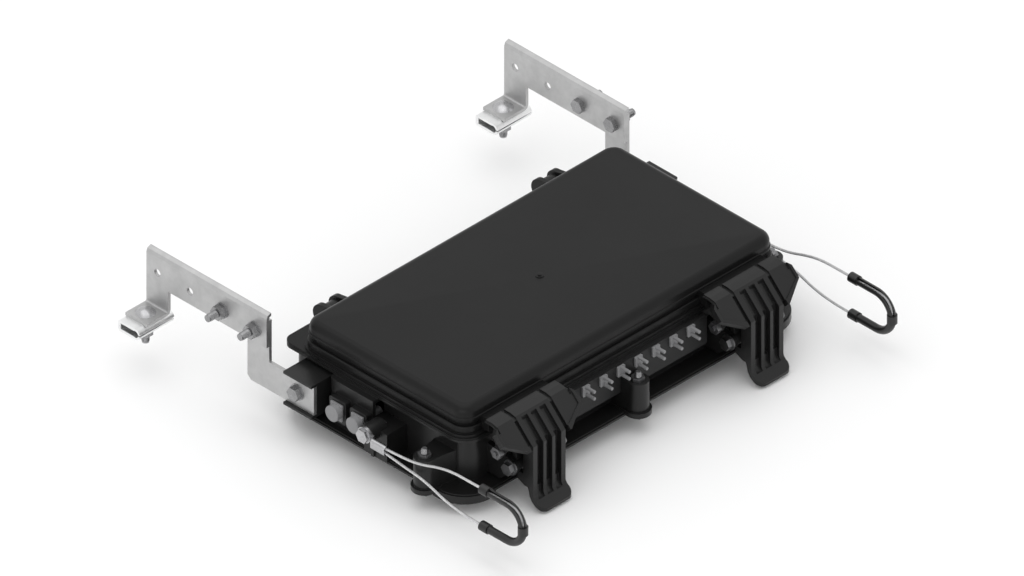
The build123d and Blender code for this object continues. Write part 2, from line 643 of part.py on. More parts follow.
def port_plate():
    height = PORT_Z1 - PORT_Z0
    face = Pos(0, (PORT_Z0 + PORT_Z1) / 2) * RectangleRounded(2 * PORT_X, height, 2)
    plate = along_y(face, PORT_Y, PORT_Y + PORT_T)
    for x in port_xs():
        seat = Pos(x, PLUG_Z) * Rectangle(PLUG_W + 2 * SEAT, PLUG_H + 2 * SEAT)
        plate -= along_y(seat, PORT_Y - 1, PORT_Y + 1)
        plate -= along_y(disc(PORT_STEM_R, x, PLUG_Z), PORT_Y - 1, PORT_Y + PORT_T + 1)
    # Notch for the middle bolt column
    half = BOSS_R + SEAT
    return plate - slab(-half, half, PORT_Y - 1, PORT_Y + PORT_T + 1, PORT_Z0 - 1, BOSS_TOP + SEAT)


def drop_plug(x):
    z0, z1 = PLUG_Z - PLUG_H / 2, PLUG_Z + PLUG_H / 2
    plug = slab(x - PLUG_W / 2, x + PLUG_W / 2, PORT_Y + 1 - PLUG_T, PORT_Y + 1, z0, z1)
    plug = chamfer(plug.edges().filter_by(Axis.Y), 0.8)
    plug += along_y(disc(PORT_STEM_R, x, PLUG_Z), PORT_Y + 1, PORT_Y + PORT_T + 6)
    y1 = PORT_Y + 1 - PLUG_T
    for side in (-1, 1):
        z = PLUG_Z + side * PLUG_PIN_PITCH / 2
        pin = along_y(disc(PLUG_PIN_R, x, z), y1 - PLUG_PIN_L, y1)
        plug += fillet(pin.faces().sort_by(Axis.Y)[0].edges(), 0.6)
    return plug


def end_plug(y):
    x = BLOCK_X + COLLAR_OUT - END_PLATE_T + END_SEAL_T
    plug = slab(
        x, x + END_PLATE_T + 1, y - END_PLATE_W / 2, y + END_PLATE_W / 2,
        END_PLUG_Z - END_PLATE_H / 2, END_PLUG_Z + END_PLATE_H / 2,
    )
    plug += rod_x(END_PLUG_R, x + END_PLATE_T, x + END_PLATE_T + 1 + END_PLUG_L, y, END_PLUG_Z)
    plug += rod_x(END_STEM_R, WALL_X - 4, x, y, END_PLUG_Z)
    return fillet(plug.faces().sort_by(Axis.X)[-1].edges(), 1.2)


def end_seal(y):
    face = BLOCK_X + COLLAR_OUT - END_PLATE_T
    pad = slab(
        face, face + END_SEAL_T, y - END_PLATE_W / 2, y + END_PLATE_W / 2,
        END_PLUG_Z - END_PLATE_H / 2, END_PLUG_Z + END_PLATE_H / 2,
    )
    return pad - rod_x(END_STEM_R, face - 1, face + 2, y, END_PLUG_Z)


# Hangers, each drawn at the x of its outer plate face


def hanger_upper(x):
    """Pressed plate with a folded top edge and a leg that ends in a tab."""
    r_in = FOLD_R - STEEL_T
    half = math.sqrt(0.5)
    top = HANGER_Z1
    bend_y, bend_z = x + FOLD_R, top - FOLD_R
    section = outline(
        (x, HANGER_Z0), (x, bend_z), (bend_y - FOLD_R * half, bend_z + FOLD_R * half), (bend_y, top),
        (x + FOLD_OUT, top), (x + FOLD_OUT, top - STEEL_T), (bend_y, top - STEEL_T),
        (bend_y - r_in * half, bend_z + r_in * half), (x + STEEL_T, bend_z), (x + STEEL_T, HANGER_Z0),
    )
    plate = along_y(section, HANGER_Y0, HANGER_Y1)
    leg_y0 = HANGER_Y1 - LEG_W
    low = TAB_TOP - STEEL_T
    lx, lz = x + STEEL_T - FOLD_R, low + FOLD_R
    leg = outline(
        (x, HANGER_Z0 + 1), (x, lz), (lx + r_in * half, lz - r_in * half), (lx, TAB_TOP),
        (x - TAB_LEN, TAB_TOP), (x - TAB_LEN, low), (lx, low),
        (lx + FOLD_R * half, lz - FOLD_R * half), (x + STEEL_T, lz), (x + STEEL_T, HANGER_Z0 + 1),
    )
    plate += along_y(leg, leg_y0, HANGER_Y1)
    for i in range(4):
        y = HANGER_Y0 + HOLE_END + HOLE_PITCH * i
        radius = BOLT_R if i < 2 else HOLE_R
        plate -= rod_x(radius, x - 1, x + STEEL_T + 1, y, HOLE_Z)
    plate -= rod_z(BOLT_R, x + CLAMP_AT, CLAMP_BOLT_Y, TAB_TOP - 10, TAB_TOP + 5)
    return plate


def hanger_lower(x):
    """Crank from the upper plate down and along to the housing."""
    x0 = x + STEEL_T
    end_y = HANGER_Y0 + HOLE_END + HOLE_PITCH + 14
    leg_y = HANGER_Y0 + LEG_W
    section = outline(
        (CRANK_Y0, CRANK_Z0), (leg_y - 5, CRANK_Z0), (leg_y, CRANK_Z0 + 5), (leg_y, HANGER_Z0 + 2),
        (end_y, HANGER_Z0 + 2), (end_y, HANGER_Z1 - FOLD_R - 3),
        (HANGER_Y0, HANGER_Z1 - FOLD_R - 3), (HANGER_Y0, CRANK_Z1), (CRANK_Y0, CRANK_Z1),
    )
    plate = along_x(section, x0, x0 + STEEL_T)
    for i in range(2):
        plate -= rod_x(BOLT_R, x0 - 1, x0 + STEEL_T + 1, HANGER_Y0 + HOLE_END + HOLE_PITCH * i, HOLE_Z)
    plate -= rod_x(BOLT_R, x0 - 1, x0 + STEEL_T + 1, ARM_BOLT_Y, ARM_BOLT_Z)
    return plate


def hanger_bolt(x, y, head_side):
    """Hex bolt through both plates with its head on the housing's side."""
    x0, x1 = x, x + 2 * STEEL_T
    head = hexagon(HEX_AF, y, HOLE_Z)
    if head_side > 0:
        bolt = rod_x(BOLT_R, x0 - BOLT_OUT, x1, y, HOLE_Z)
        return bolt + along_x(head, x1, x1 + HEX_H)
    bolt = rod_x(BOLT_R, x0, x1 + BOLT_OUT, y, HOLE_Z)
    return bolt + along_x(head, x0 - HEX_H, x0)


def hanger_nut(x, y, head_side):
    nut = hexagon(NUT_AF, y, HOLE_Z) - disc(BOLT_R, y, HOLE_Z)
    washer = disc(WASHER_R, y, HOLE_Z) - disc(BOLT_R, y, HOLE_Z)
    if head_side > 0:
        return along_x(washer, x - WASHER_T, x) + along_x(nut, x - WASHER_T - NUT_H, x - WASHER_T)
    x1 = x + 2 * STEEL_T
    return along_x(washer, x1, x1 + WASHER_T) + along_x(nut, x1 + WASHER_T, x1 + WASHER_T + NUT_H)


def arm_bolt(side):
    """Flange bolt that holds the crank to the housing."""
    face = crank_face(side)
    out = face + STEEL_T
    bolt = rod_x(BOLT_R, BLOCK_X - 8, out, ARM_BOLT_Y, ARM_BOLT_Z)
    bolt += rod_x(WASHER_R + 0.5, out, out + 1.6, ARM_BOLT_Y, ARM_BOLT_Z)
    bolt += along_x(hexagon(HEX_AF, ARM_BOLT_Y, ARM_BOLT_Z), out + 1.6, out + 1.6 + HEX_H)
    return bolt if side > 0 else flip(bolt)


def clamp_half(x, upper):
    """One pressed jaw of the strand clamp, with a groove at -Y and a heel at +Y."""
    centre_z = TAB_TOP - STEEL_T - CLAMP_T - CLAMP_GAP / 2
    sign = 1 if upper else -1
    x0, x1 = x + CLAMP_AT - CLAMP_L / 2, x + CLAMP_AT + CLAMP_L / 2
    face, back = CLAMP_GAP / 2, CLAMP_GAP / 2 + CLAMP_T
    wrap = Pos(STRAND_Y, 0) * (Circle(back) - Circle(STRAND_R))
    wrap &= Pos(STRAND_Y - back, back / 2 + LIP_GAP / 4) * Rectangle(2 * back, back - LIP_GAP / 2)
    section = wrap + outline(
        (STRAND_Y - 0.1, face), (CLAMP_Y1 - 4, face), (CLAMP_Y1 - 4, 0.1), (CLAMP_Y1, 0.1), (CLAMP_Y1, back - 2),
        (CLAMP_Y1 - 2, back), (STRAND_Y - 0.1, back),
    )
    section -= disc(STRAND_R, STRAND_Y, 0)
    half = along_x(section, x0, x1)
    if sign < 0:
        half = mirror(half, Plane.XY)
    half = Pos(0, 0, centre_z) * half
    return half - rod_z(BOLT_R, x + CLAMP_AT, CLAMP_BOLT_Y, TAB_TOP - 40, TAB_TOP)


def clamp_bolt(x):
    """Carriage bolt, dome head on the tab."""
    cx = x + CLAMP_AT
    radius = (DOME_R**2 + DOME_H**2) / (2 * DOME_H)
    dome = Pos(cx, CLAMP_BOLT_Y, TAB_TOP + DOME_H - radius) * Sphere(radius)
    dome &= rod_z(DOME_R, cx, CLAMP_BOLT_Y, TAB_TOP, TAB_TOP + DOME_H + 1)
    return dome + rod_z(BOLT_R, cx, CLAMP_BOLT_Y, TAB_TOP - CLAMP_BOLT_L, TAB_TOP)


def clamp_nut(x):
    cx = x + CLAMP_AT
    z1 = TAB_TOP - STEEL_T - 2 * CLAMP_T - CLAMP_GAP
    nut = hexagon(NUT_AF, cx, CLAMP_BOLT_Y) - disc(BOLT_R, cx, CLAMP_BOLT_Y)
    washer = disc(WASHER_R, cx, CLAMP_BOLT_Y) - disc(BOLT_R, cx, CLAMP_BOLT_Y)
    return along_z(washer, z1 - WASHER_T, z1) + along_z(nut, z1 - WASHER_T - NUT_H, z1 - WASHER_T)


# Wire loops, drawn at +X and turned over for the other end


HOOK_TOP, HOOK_LOW = HOOK_Z + HOOK_BEND, HOOK_Z - HOOK_BEND
HOOK_FAR = HOOK_Y - HOOK_BEND

ROPE_ROUTE = [
    (CRIMP_Y0 + CRIMP_DEEP, ROPE_A_Z), (-68, 44.6), (-94, 48.4), (-119, 57.6), (-141, 62.6), (-168, 62.95),
    (-206, 63.08), (HOOK_FAR, HOOK_TOP), (HOOK_FAR, HOOK_LOW), (-206, 16.92), (-168, 17.05),
    (-147, 18.6), (-128, 22.2), (-111, 28.2), (-93, 32.6), (-70, 34.6), (CRIMP_Y0 + CRIMP_DEEP, ROPE_B_Z),
]


def corner_radii(route):
    """Arc radius at each corner, 0.45 of the shorter run over the tangent of half the turn."""
    radii = []
    for before, at, after in zip(route, route[1:], route[2:]):
        run_in, run_out = at - before, after - at
        turn = math.radians(run_in.get_angle(run_out))
        shorter = min(run_in.length, run_out.length)
        radius = 0.45 * shorter / math.tan(turn / 2)
        if turn > math.radians(80):
            radius = HOOK_BEND - 0.05
        radii.append(radius)
    return radii


def wire_loop():
    route = [Vector(LOOP_X, y, z) for y, z in ROPE_ROUTE]
    radii = corner_radii(route)
    path = FilletPolyline(*route, radius=radii)
    print("rope radii", [round(r, 1) for r in radii])
    start = Plane(origin=path @ 0, z_dir=path % 0)
    tube = sweep(start * Circle(ROPE_R), path=path)
    share = tube.volume / (math.pi * ROPE_R**2 * path.length)
    print("rope length", round(path.length, 1), "volume share", round(share, 4))
    return tube


def wire_lug(rope):
    """Ring terminal with a cranked neck and a flattened crimp."""
    x0, x1 = PAD_FACE, PAD_FACE + RING_T
    ring = along_x(disc(RING_R, LUG_Y, LUG_Z), x0, x1)
    zc = (ROPE_A_Z + ROPE_B_Z) / 2
    crank = outline(
        (x0, LUG_Y - 8), (x1, LUG_Y - 8), (x1, LUG_Y - 9.5), (LOOP_X + 1.2, CRIMP_Y1 + 0.5),
        (LOOP_X + 1.2, CRIMP_Y1 - 3), (LOOP_X - 1.2, CRIMP_Y1 - 3), (LOOP_X - 1.2, CRIMP_Y1 + 1.5), (x0, LUG_Y - 11.5),
    )
    neck = slab(x0, x1, LUG_Y - 9, LUG_Y, LUG_Z - 5, LUG_Z + 4) + along_z(crank, LUG_Z - 6, LUG_Z + 3)
    barrel = Pos(LOOP_X, zc) * RectangleRounded(CRIMP_T, CRIMP_H, 3.2)
    lug = ring + neck + along_y(barrel, CRIMP_Y0, CRIMP_Y1)
    lug -= rod_x(BOLT_R, x0 - 1, x1 + 1, LUG_Y, LUG_Z)
    return lug - rope


def lug_bolt():
    x1 = PAD_FACE + RING_T
    bolt = rod_x(BOLT_R, BLOCK_X - 4, x1, LUG_Y, LUG_Z)
    bolt += rod_x(WASHER_R + 0.2, x1, x1 + 1.6, LUG_Y, LUG_Z)
    return bolt + along_x(hexagon(HEX_AF, LUG_Y, LUG_Z), x1 + 1.6, x1 + 1.6 + HEX_H - 2)


def hook_path(y_start, top):
    z = HOOK_TOP if top else HOOK_LOW
    sign = 1 if top else -1
    line = Line((LOOP_X, y_start, z), (LOOP_X, HOOK_Y, z))
    half = HOOK_BEND * math.sqrt(0.5)
    arc = ThreePointArc(
        (LOOP_X, HOOK_Y, z), (LOOP_X, HOOK_Y - half, HOOK_Z + sign * half), (LOOP_X, HOOK_FAR, HOOK_Z)
    )
    return Wire([line, arc])


def wire_hook():
    """Moulded saddle that the rope runs through, open grooved on its upper leg."""
    bore = ROPE_R + 0.15
    tube = Circle(HOOK_R)
    grooved = tube - Circle(bore) - Pos(0, HOOK_R / 2 + 0.2) * Rectangle(2 * bore, HOOK_R)
    start = Plane(origin=(LOOP_X, HOOK_END, HOOK_TOP), x_dir=(-1, 0, 0), z_dir=(0, -1, 0))
    upper_half = sweep(start * grooved, path=hook_path(HOOK_END, True))
    low = Plane(origin=(LOOP_X, HOOK_END, HOOK_LOW), x_dir=(-1, 0, 0), z_dir=(0, -1, 0))
    lower_half = sweep(low * (tube - Circle(bore)), path=hook_path(HOOK_END, False))
    hook = upper_half + lower_half
    ring = Circle(HOOK_R + 1.1) - Circle(HOOK_R - 0.4)
    for z in (HOOK_TOP, HOOK_LOW):
        band = Plane(origin=(LOOP_X, HOOK_END, z), x_dir=(-1, 0, 0), z_dir=(0, -1, 0))
        hook += extrude(band * ring, amount=11, dir=(0, -1, 0))
    far = Plane(origin=(LOOP_X, HOOK_FAR, HOOK_Z - 5), x_dir=(1, 0, 0), z_dir=(0, 0, 1))
    hook += extrude(far * ring, amount=10, dir=(0, 0, 1))
    return hook


# Inside


def splice_tray(z):
    tray = plan(TRAY_X, TRAY_Y, 30, z, z + TRAY_H)
    tray -= plan(TRAY_X - TRAY_T, TRAY_Y - TRAY_T, 30 - TRAY_T, z + TRAY_T, z + TRAY_H + 1)
    # Fibre guides round the ends and the splice holder in the middle
    for side in (-1, 1):
        tray += rod_z(32, side * 92, 0, z, z + TRAY_H - 1) - rod_z(30, side * 92, 0, z - 1, z + TRAY_H + 1)
        for y in (-TRAY_Y + 8, TRAY_Y - 8):
            tray += slab(side * 60 - 8, side * 60 + 8, y - 6, y + 6, z + TRAY_H - 1.5, z + TRAY_H)
            tray += slab(side * 60 - 8, side * 60 + 8, y - 1, y + 1, z, z + TRAY_H)
    for i in range(13):
        y = -30 + 5 * i
        tray += slab(-24, 24, y - 0.9, y + 0.9, z, z + 6)
    for x, y in STUD_AT:
        tray += rod_z(6.5, x, y, z, z + TRAY_H)
        tray -= rod_z(STUD_R + 0.1, x, y, z - 1, z + TRAY_H + 1)
    return tray


def tray_cover(z):
    cover = plan(TRAY_X, TRAY_Y, 30, z, z + COVER_T)
    for x, y in STUD_AT:
        cover -= rod_z(STUD_R + 0.1, x, y, z - 1, z + COVER_T + 1)
    return cover


def tray_bracket():
    z1 = TRAY_Z
    plate = plan(TRAY_X - 4, TRAY_Y - 14, 8, z1 - BRACKET_T, z1)
    for x in (-130, 130):
        for y in (-50, 50):
            plate += rod_z(5, x, y, PAN_FLOOR, z1)
    for x, y in STUD_AT:
        plate -= rod_z(STUD_R, x, y, z1 - 5, z1 + 5)
    return plate


def tray_stud(x, y):
    top = TRAY_Z + 2 * TRAY_H + STUD_PROUD
    low = TRAY_Z - BRACKET_T
    stud = rod_z(STUD_R, x, y, low, top)
    return stud + along_z(hexagon(STUD_HEAD_AF, x, y), low - STUD_HEAD_H, low)


def thumb_nut(x, y):
    z0 = TRAY_Z + 2 * TRAY_H + COVER_T
    return along_z(Pos(x, y) * RegularPolygon(THUMB_R, 16) - disc(STUD_R, x, y), z0, z0 + THUMB_H)


def strength_bar():
    z0 = PAN_FLOOR
    bar = slab(-BAR_X, BAR_X, BAR_Y0, BAR_Y1, z0, z0 + BAR_H)
    half = BAR_PAD_W / 2
    y0, pad_z = BAR_Y0 - BAR_PAD_OUT, z0 + BAR_PAD_Z
    for x in BAR_PAD_X:
        bar += slab(x - half, x + half, y0, BAR_Y0 + 1, pad_z, pad_z + BAR_PAD_T)
        bar += rod_z(BAR_SCREW_R, x, y0 + BAR_PAD_OUT / 2, pad_z + BAR_PAD_T - 1, z0 + BAR_H)
    return bar


def ground_stud():
    z0 = PAN_FLOOR
    head = hexagon(GROUND_AF, GROUND_X, GROUND_Y)
    stud = rod_z(GROUND_R, GROUND_X, GROUND_Y, z0, z0 + GROUND_L)
    stud += along_z(head, z0, z0 + GROUND_NUT_H)
    return stud + along_z(head, z0 + GROUND_NUT_Z, z0 + GROUND_NUT_Z + GROUND_NUT_H)


save("lid", lid())
save("lid_gasket", gasket())
save("base_shell", base_shell())
save("bottom_pan", bottom_pan())
save("bottom_seal", bottom_seal())
save("boss_bolts", group(boss_bolt(x, y) for x, y in BOSS_AT))
save("boss_nuts", group(boss_nut(x, y) for x, y in BOSS_AT))
save("hinge_pins", group(hinge_pin(side) for side in (-1, 1)))

lever, lever_link, lever_pin = latch(), latch_link(), latch_pin()
for name, side in (("left", -1), ("right", 1)):
    place = Pos(side * LATCH_X, 0, 0)
    save(f"latch_{name}", place * lever)
    save(f"latch_link_{name}", place * lever_link)
    save(f"latch_pin_{name}", place * lever_pin)
save("link_bolts", group(Pos(side * LATCH_X, 0, 0) * link_bolt() for side in (-1, 1)))

save("port_plate", port_plate())
for number, x in enumerate(port_xs(), 1):
    save(f"drop_plug_{number}", drop_plug(x))
for place, y in zip(("rear", "front"), END_PLUG_Y):
    save(f"end_plug_right_{place}", end_plug(y))
    save(f"end_plug_left_{place}", flip(end_plug(y)))
seals = [end_seal(y) for y in END_PLUG_Y]
save("end_plug_seals", group(seals + [flip(seal) for seal in seals]))

for name, x in zip(("left", "right"), HANGER_X):
    save(f"hanger_upper_{name}", hanger_upper(x))
    save(f"hanger_lower_{name}", hanger_lower(x))
    save(f"strand_clamp_upper_{name}", clamp_half(x, True))
    save(f"strand_clamp_lower_{name}", clamp_half(x, False))
save("strand_clamp_bolts", group(clamp_bolt(x) for x in HANGER_X))
save("strand_clamp_nuts", group(clamp_nut(x) for x in HANGER_X))
bolt_ys = [HANGER_Y0 + HOLE_END, HANGER_Y0 + HOLE_END + HOLE_PITCH]
sides = [(x, y, -math.copysign(1, x)) for x in HANGER_X for y in bolt_ys]
save("hanger_bolts", group(hanger_bolt(*side) for side in sides))
save("hanger_nuts", group(hanger_nut(*side) for side in sides))
save("arm_bolts", group(arm_bolt(side) for side in (-1, 1)))

rope, hook = wire_loop(), wire_hook()
lug = wire_lug(rope)
save("wire_lug_right", lug)
save("wire_lug_left", flip(lug))
save("lug_bolts", group([lug_bolt(), flip(lug_bolt())]))
save("wire_loop_right", rope)
save("wire_loop_left", flip(rope))
save("wire_hook_right", hook)
save("wire_hook_left", flip(hook))

save("tray_bracket", tray_bracket())
save("splice_tray_lower", splice_tray(TRAY_Z))
save("splice_tray_upper", splice_tray(TRAY_Z + TRAY_H))
save("tray_cover", tray_cover(TRAY_Z + 2 * TRAY_H))
save("tray_studs", group(tray_stud(x, y) for x, y in STUD_AT))
save("thumb_nuts", group(thumb_nut(x, y) for x, y in STUD_AT))
save("strength_bar", strength_bar())
save("ground_stud", ground_stud())
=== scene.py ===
import bpy
import bmesh
import json
import math
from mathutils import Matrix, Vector


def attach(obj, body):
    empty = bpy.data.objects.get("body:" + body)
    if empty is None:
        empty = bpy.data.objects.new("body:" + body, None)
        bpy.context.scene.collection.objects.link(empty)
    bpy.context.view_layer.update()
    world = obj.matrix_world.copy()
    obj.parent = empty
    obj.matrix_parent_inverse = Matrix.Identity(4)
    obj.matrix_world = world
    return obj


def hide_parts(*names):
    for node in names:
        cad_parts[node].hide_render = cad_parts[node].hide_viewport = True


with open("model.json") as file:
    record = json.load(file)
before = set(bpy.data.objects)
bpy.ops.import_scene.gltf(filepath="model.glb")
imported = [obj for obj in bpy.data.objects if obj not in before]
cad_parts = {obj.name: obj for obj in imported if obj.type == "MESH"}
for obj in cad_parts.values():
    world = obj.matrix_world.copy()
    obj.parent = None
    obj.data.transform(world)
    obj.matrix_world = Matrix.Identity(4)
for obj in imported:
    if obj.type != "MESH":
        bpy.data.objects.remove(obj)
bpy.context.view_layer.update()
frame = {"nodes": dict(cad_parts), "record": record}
nodes = frame["nodes"]

SIDES = (("left", -1), ("right", 1))


def linked(name, data):
    """New object in the scene."""
    piece = bpy.data.objects.new(name, data)
    bpy.context.collection.objects.link(piece)
    return piece


# Camera: an isometric view from the latch side and the left end

ELEVATION = math.radians(35.03)
CAMERA_TARGET = Vector((-0.0358, 0.0042, 0.106))
CAMERA_DISTANCE = 3.0
VIEW_WIDTH = 1.0513

flat = math.cos(ELEVATION) / math.sqrt(2)
forward = Vector((flat, flat, -math.sin(ELEVATION)))
camera_data = bpy.data.cameras.new("camera")
camera_data.type = "ORTHO"
camera_data.ortho_scale = VIEW_WIDTH
camera_data.clip_end = 20
camera = linked("camera", camera_data)
camera.location = CAMERA_TARGET - forward * CAMERA_DISTANCE
camera.rotation_euler = forward.to_track_quat("-Z", "Y").to_euler()
bpy.context.scene.camera = camera
bpy.context.scene.view_settings.view_transform = "Standard"


# Studio

FLOOR_Z = -0.0145
FLOOR_SIZE = 30
WORLD_STRENGTH = 0.9
TOP_POWER, SIDE_POWER = 30, 9


def area_light(name, place, aim, size, power):
    data = bpy.data.lights.new(name, "AREA")
    data.shape = "RECTANGLE"
    data.size, data.size_y = size
    data.energy = power
    lamp = linked(name, data)
    lamp.location = place
    lamp.rotation_euler = (Vector(aim) - Vector(place)).to_track_quat("-Z", "Y").to_euler()


world = bpy.data.worlds.new("studio")
bpy.context.scene.world = world
world.use_nodes = True
background = world.node_tree.nodes["Background"]
background.inputs["Color"].default_value = (1, 1, 1, 1)
background.inputs["Strength"].default_value = WORLD_STRENGTH

area_light("top", (-0.3, 0.2, 3.0), (0, 0, 0), (3.6, 3.6), TOP_POWER)
area_light("side", (-2.6, -1.3, 0.7), (0, 0, 0.05), (2.0, 1.2), SIDE_POWER)

bpy.ops.mesh.primitive_plane_add(size=FLOOR_SIZE, location=(0, 0, FLOOR_Z))
floor = bpy.context.object
floor.name = "floor"


# Materials

NOISE_LOW, NOISE_HIGH = 0.3, 0.7
BUMP_DEPTH = 0.0003
EDGE_RADIUS = 0.0007
DARKER, LIGHTER = 0.8, 1.2


class Shader:
    """Small helper around one node tree."""

    def __init__(self, name):
        self.material = bpy.data.materials.new(name)
        self.material.use_nodes = True
        self.tree = self.material.node_tree
        self.shader = self.tree.nodes["Principled BSDF"]
        self.place = self.add("ShaderNodeTexCoord").outputs["Object"]

    def add(self, kind):
        return self.tree.nodes.new(kind)

    def join(self, source, socket):
        self.tree.links.new(source, socket)

    def drive(self, name, source):
        """Links a source to an input of the surface."""
        self.join(source, self.shader.inputs[name])

    def noise(self, scale, detail, rough=0.5):
        node = self.add("ShaderNodeTexNoise")
        node.inputs["Scale"].default_value = scale
        node.inputs["Detail"].default_value = detail
        node.inputs["Roughness"].default_value = rough
        self.join(self.place, node.inputs["Vector"])
        return node.outputs["Fac"]

    def ramp(self, source, low, high):
        """Colours from low to high."""
        node = self.add("ShaderNodeValToRGB")
        stops = ((NOISE_LOW, low), (NOISE_HIGH, high))
        for element, (at, colour) in zip(node.color_ramp.elements, stops):
            element.position = at
            element.color = (*colour, 1)
        self.join(source, node.inputs["Fac"])
        return node.outputs["Color"]

    def spread(self, source, low, high):
        """Values from low to high."""
        node = self.add("ShaderNodeMapRange")
        node.inputs["From Min"].default_value = NOISE_LOW
        node.inputs["From Max"].default_value = NOISE_HIGH
        node.inputs["To Min"].default_value = low
        node.inputs["To Max"].default_value = high
        self.join(source, node.inputs["Value"])
        return node.outputs["Result"]

    def bump(self, source, strength):
        node = self.add("ShaderNodeBump")
        node.inputs["Strength"].default_value = strength
        node.inputs["Distance"].default_value = BUMP_DEPTH
        self.join(source, node.inputs["Height"])
        return node

    def soften_edges(self, bump):
        """Rounds the edges in the shading only."""
        node = self.add("ShaderNodeBevel")
        node.samples = 4
        node.inputs["Radius"].default_value = EDGE_RADIUS
        self.join(node.outputs["Normal"], bump.inputs["Normal"])


def moulding(name, low, high, rough, sheen=0.5):
    """Moulded plastic with a fine texture, a slight mottle and softened edges."""
    s = Shader(name)
    s.drive("Base Color", s.ramp(s.noise(9, 5), low, high))
    s.drive("Roughness", s.spread(s.noise(40, 4), *rough))
    fine = s.bump(s.noise(1400, 2), 0.12)
    s.soften_edges(fine)
    s.drive("Normal", fine.outputs["Normal"])
    s.shader.inputs["Specular IOR Level"].default_value = sheen
    return s.material


def metal(name, low, high, rough, patch=60):
    """Plated or zinc coated steel, mottled in patches."""
    s = Shader(name)
    s.drive("Base Color", s.ramp(s.noise(patch, 5, rough=0.6), low, high))
    s.shader.inputs["Metallic"].default_value = 1.0
    s.drive("Roughness", s.spread(s.noise(patch * 2.5, 3), *rough))
    s.drive("Normal", s.bump(s.noise(700, 3), 0.08).outputs["Normal"])
    return s.material


def rubber(name, shade, rough):
    s = Shader(name)
    low, high = [v * DARKER for v in shade], [v * LIGHTER for v in shade]
    s.drive("Base Color", s.ramp(s.noise(30, 4), low, high))
    s.drive("Roughness", s.spread(s.noise(90, 3), *rough))
    s.drive("Normal", s.bump(s.noise(900, 2), 0.1).outputs["Normal"])
    return s.material


def clear(name):
    s = Shader(name)
    s.drive("Base Color", s.ramp(s.noise(20, 2), (0.80, 0.84, 0.86), (0.86, 0.89, 0.90)))
    s.drive("Roughness", s.spread(s.noise(60, 2), 0.08, 0.16))
    s.shader.inputs["Transmission Weight"].default_value = 0.75
    return s.material


def grey(value):
    return (value, value, value)


# Each slot's maker, then its darkest and lightest shade and its range of roughness
LOOKS = {
    "black_moulding": (moulding, grey(0.0080), grey(0.0096), (0.28, 0.34), 0.32),
    "port_moulding": (moulding, (0.014, 0.014, 0.0142), (0.016, 0.016, 0.0162), (0.35, 0.42), 0.2),
    "seal_rubber": (rubber, grey(0.02), (0.6, 0.75)),
    "galvanised": (metal, grey(0.47), grey(0.54), (0.42, 0.55)),
    "plated": (metal, (0.42, 0.42, 0.43), (0.52, 0.52, 0.53), (0.24, 0.36), 120),
    "dark_plated": (metal, (0.16, 0.16, 0.165), (0.24, 0.24, 0.245), (0.3, 0.42), 120),
    "grey_plug": (moulding, (0.19, 0.19, 0.195), (0.23, 0.23, 0.235), (0.4, 0.5), 0.3),
    "clamp_metal": (metal, (0.80, 0.81, 0.81), grey(0.90), (0.35, 0.5)),
    "wire": (metal, (0.55, 0.55, 0.56), grey(0.70), (0.3, 0.42), 200),
    "hook_rubber": (rubber, grey(0.0062), (0.30, 0.42)),
    "tray_plastic": (moulding, (0.42, 0.44, 0.47), (0.48, 0.50, 0.53), (0.4, 0.5)),
    "clear_cover": (clear,),
}
materials = {slot: maker(slot, *look) for slot, (maker, *look) in LOOKS.items()}

# Two looks that differ from their slot's
lid_finish = moulding("lid_moulding", grey(0.0064), grey(0.0076), (0.32, 0.38), sheen=0.18)
bolt_finish = metal("bolt_steel", (0.26, 0.26, 0.265), (0.34, 0.34, 0.345), (0.22, 0.34), patch=120)
own_finish = {"lid": lid_finish}
for bolted in ("hanger_bolts", "hanger_nuts", "arm_bolts", "strand_clamp_nuts"):
    own_finish[bolted] = bolt_finish

for part in frame["record"]["subparts"]:
    node = nodes[part["node"]]
    material = own_finish.get(part["node"], materials[part["material_slot"]])
    if not node.material_slots:
        node.data.materials.append(material)
    for held in node.material_slots:
        held.material = material

paper = Shader("floor_paper")
paper.shader.inputs["Base Color"].default_value = (0.93, 0.93, 0.93, 1)
paper.shader.inputs["Roughness"].default_value = 0.6
floor.data.materials.append(paper.material)


# Mesh helpers, in millimetres but for WELD

MM = 0.001
WELD = 0.000002
SHARP, SHARP_STRANDS = 32, 80


def face_outward(data, weld=None):
    """Turns the faces outward, after points closer than weld are joined."""
    shape = bmesh.new()
    shape.from_mesh(data)
    if weld:
        bmesh.ops.remove_doubles(shape, verts=shape.verts, dist=weld)
    bmesh.ops.recalc_face_normals(shape, faces=shape.faces)
    shape.to_mesh(data)
    shape.free()


def piece_from(name, verts, faces):
    data = bpy.data.meshes.new(name)
    data.from_pydata([(x * MM, y * MM, z * MM) for x, y, z in verts], [], faces)
    face_outward(data)
    return linked(name, data)


def solid_copy(name, node):
    """Welded copy of a node's mesh, ready for booleans."""
    source = nodes[node].data
    data = bpy.data.meshes.new(name)
    data.from_pydata([v.co[:] for v in source.vertices], [], [p.vertices[:] for p in source.polygons])
    face_outward(data, WELD)
    return linked(name, data)


def ring_faces(start, count, stride):
    """Faces between a ring of points and the ring that lies a stride further on."""
    faces = []
    for k in range(count):
        a, b = start + k, start + (k + 1) % count
        faces.append((a, b, b + stride, a + stride))
    return faces


def prism(outline, axis, low, high):
    """Closed prism from an outline, along X or Z."""
    count = len(outline)
    verts = []
    for at in (low, high):
        verts += [(at, u, v) if axis == "x" else (u, v, at) for u, v in outline]
    faces = [tuple(range(count)), tuple(range(2 * count - 1, count - 1, -1))]
    for i in range(count):
        j = (i + 1) % count
        faces.append((i, i + count, j + count, j))
    return piece_from("tool", verts, faces)


